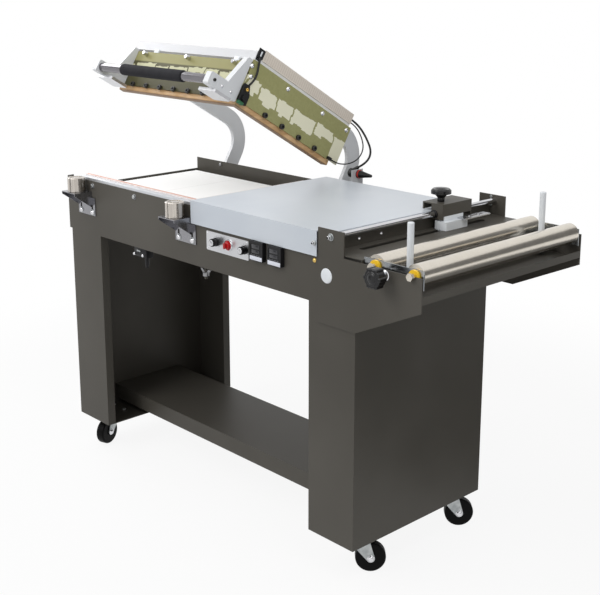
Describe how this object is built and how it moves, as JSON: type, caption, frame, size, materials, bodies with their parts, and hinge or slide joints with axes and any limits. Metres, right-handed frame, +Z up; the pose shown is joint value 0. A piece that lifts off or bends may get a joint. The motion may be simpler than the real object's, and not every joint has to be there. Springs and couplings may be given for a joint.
{
  "type": "l bar sealer",
  "caption": "Wheeled L bar sealer for film wrapping: dark grey table with an exit conveyor, a raised L shaped sealing arm, a loading platform and a film unwinder.",
  "frame": {"origin": "on the floor under the middle of the machine's box, with the sealing arm open", "axes": "+X along the film path towards the unwinder, +Y from the operator's side to the rear, +Z up"},
  "size_m": [1.368, 0.6752, 1.2128],
  "materials": {
    "body_paint": "satin dark grey powder coat",
    "deck_paint": "satin light grey paint",
    "arm_metal": "light grey satin",
    "bright_steel": "satin bright steel",
    "chrome": "polished",
    "jaw_aluminium": "milled",
    "pad_rubber": "orange silicone",
    "belt": "white coated belt",
    "dark_motor": "dark enamel",
    "black_plastic": "matte black",
    "red_plastic": "gloss red",
    "yellow_plastic": "yellow nylon",
    "white_plastic": "white nylon",
    "tape": "brown PTFE coated tape",
    "board": "olive insulating laminate",
    "grip_foam": "black foam",
    "tyre": "black",
    "lead_rubber": "black"
  },
  "bodies": {
    "table": {"chassis": "body_paint", "rear_guard": "body_paint", "left_leg": "body_paint", "right_cabinet": "body_paint", "transformer": "dark_motor", "shelf": "body_paint", "platform": "deck_paint", "unwinder_plate_front": "body_paint", "unwinder_plate_rear": "body_paint", "film_tray": "body_paint", "lower_jaws": "jaw_aluminium", "jaw_pads": "pad_rubber", "conveyor_belt": "belt", "conveyor_bed": "bright_steel", "conveyor_motor": "dark_motor", "magnet_brackets": "bright_steel", "electromagnets": "bright_steel", "control_plate": "bright_steel", "temperature_controllers": "black_plastic", "cross_rods": "chrome", "roller_strips": "bright_steel", "roller_bushes": "yellow_plastic", "hinge_bearings": "bright_steel", "caster_plates": "bright_steel", "lead_socket": "black_plastic", "heater_lead": "lead_rubber"},
    "seal_arm": {"hinge_shaft": "bright_steel", "hinge_arms": "arm_metal", "seal_bars": "tape", "boards": "board", "wire_channels": "arm_metal", "handle_tube": "chrome", "handle_grip": "grip_foam", "handle_brackets": "arm_metal", "armature_plates": "bright_steel", "corner_tensioner": "black_plastic", "return_springs": "bright_steel", "board_lead": "lead_rubber"},
    "drive_roller": {"conveyor_drive_roller": "bright_steel"},
    "idle_roller": {"conveyor_idle_roller": "bright_steel"},
    "inner_roller": {"unwind_roller_inner": "bright_steel"},
    "outer_roller": {"unwind_roller_outer": "bright_steel"},
    "carriage": {"carriage_channel": "body_paint", "carriage_block": "white_plastic"},
    "carriage_screw": {"carriage_knob": "black_plastic"},
    "clamp_screw": {"clamp_knob": "black_plastic"},
    "guide_front": {"film_guide_front": "white_plastic"},
    "guide_rear": {"film_guide_rear": "white_plastic"},
    "timer_left": {"timer_knob_left": "black_plastic"},
    "switch": {"power_switch": "red_plastic"},
    "timer_right": {"timer_knob_right": "black_plastic"},
    "wing": {"wing_nut": "chrome"},
    "fork_front_left": {"caster_fork_front_left": "bright_steel"},
    "wheel_front_left": {"caster_wheel_front_left": "tyre"},
    "fork_rear_left": {"caster_fork_rear_left": "bright_steel"},
    "wheel_rear_left": {"caster_wheel_rear_left": "tyre"},
    "fork_front_right": {"caster_fork_front_right": "bright_steel"},
    "wheel_front_right": {"caster_wheel_front_right": "tyre"},
    "fork_rear_right": {"caster_fork_rear_right": "bright_steel"},
    "wheel_rear_right": {"caster_wheel_rear_right": "tyre"}
  },
  "joints": [
    {"name": "arm_hinge", "type": "hinge", "parent": "table", "child": "seal_arm", "pos_m": [-0.36, 0.235, 0.724], "axis": [1, 0, 0], "range_deg": [0, 30.7], "stiffness_Nm_per_rad": 14, "springref_deg": -137.51, "deforming": ["heater_lead", "return_springs"]},
    {"name": "drive_roller_spin", "type": "hinge", "parent": "table", "child": "drive_roller", "pos_m": [-0.152, 0, 0.7776], "axis": [0, 1, 0], "continuous": true},
    {"name": "idle_roller_spin", "type": "hinge", "parent": "table", "child": "idle_roller", "pos_m": [-0.635, 0, 0.7776], "axis": [0, 1, 0], "continuous": true},
    {"name": "inner_roller_spin", "type": "hinge", "parent": "table", "child": "inner_roller", "pos_m": [0.547, 0, 0.798], "axis": [0, 1, 0], "continuous": true},
    {"name": "outer_roller_spin", "type": "hinge", "parent": "table", "child": "outer_roller", "pos_m": [0.658, 0, 0.798], "axis": [0, 1, 0], "continuous": true},
    {"name": "carriage_slide", "type": "slide", "parent": "table", "child": "carriage", "axis": [0, 1, 0], "range_m": [-0.26, 0.06]},
    {"name": "carriage_knob_turn", "type": "hinge", "parent": "carriage", "child": "carriage_screw", "pos_m": [0.416, 0.1, 0.88], "axis": [0, 0, 1], "continuous": true},
    {"name": "clamp_knob_turn", "type": "hinge", "parent": "table", "child": "clamp_screw", "pos_m": [0.582, -0.3, 0.786], "axis": [0, 1, 0], "continuous": true},
    {"name": "guide_front_slide", "type": "slide", "parent": "table", "child": "guide_front", "axis": [0, 1, 0], "range_m": [-0.02, 0.2]},
    {"name": "guide_rear_slide", "type": "slide", "parent": "table", "child": "guide_rear", "axis": [0, 1, 0], "range_m": [-0.2, 0.02]},
    {"name": "timer_left_turn", "type": "hinge", "parent": "table", "child": "timer_left", "pos_m": [0.009, -0.28, 0.756], "axis": [0, 1, 0], "range_deg": [-150, 150]},
    {"name": "power_switch_turn", "type": "hinge", "parent": "table", "child": "switch", "pos_m": [0.056, -0.28, 0.756], "axis": [0, 1, 0], "range_deg": [0, 90]},
    {"name": "timer_right_turn", "type": "hinge", "parent": "table", "child": "timer_right", "pos_m": [0.119, -0.28, 0.756], "axis": [0, 1, 0], "range_deg": [-150, 150]},
    {"name": "wing_nut_turn", "type": "hinge", "parent": "table", "child": "wing", "pos_m": [-0.059, -0.259, 0.655], "axis": [0, 0, 1], "continuous": true},
    {"name": "swivel_front_left", "type": "hinge", "parent": "table", "child": "fork_front_left", "pos_m": [-0.62, -0.199, 0.08], "axis": [0, 0, 1], "continuous": true},
    {"name": "roll_front_left", "type": "hinge", "parent": "fork_front_left", "child": "wheel_front_left", "pos_m": [-0.61088, -0.22548, 0.0375], "axis": [-0.9455, -0.3256, 0], "continuous": true},
    {"name": "swivel_rear_left", "type": "hinge", "parent": "table", "child": "fork_rear_left", "pos_m": [-0.62, 0.137, 0.08], "axis": [0, 0, 1], "continuous": true},
    {"name": "roll_rear_left", "type": "hinge", "parent": "fork_rear_left", "child": "wheel_rear_left", "pos_m": [-0.6009, 0.15748, 0.0375], "axis": [0.7314, -0.682, 0], "continuous": true},
    {"name": "swivel_front_right", "type": "hinge", "parent": "table", "child": "fork_front_right", "pos_m": [0.44, -0.199, 0.08], "axis": [0, 0, 1], "continuous": true},
    {"name": "roll_front_right", "type": "hinge", "parent": "fork_front_right", "child": "wheel_front_right", "pos_m": [0.4591, -0.17852, 0.0375], "axis": [0.7314, -0.682, 0], "continuous": true},
    {"name": "swivel_rear_right", "type": "hinge", "parent": "table", "child": "fork_rear_right", "pos_m": [0.44, 0.137, 0.08], "axis": [0, 0, 1], "continuous": true},
    {"name": "roll_rear_right", "type": "hinge", "parent": "fork_rear_right", "child": "wheel_rear_right", "pos_m": [0.4591, 0.15748, 0.0375], "axis": [0.7314, -0.682, 0], "continuous": true}
  ],
  "couplings": [
    {"joint": "idle_roller_spin", "follows": "drive_roller_spin", "ratio": 1}
  ]
}
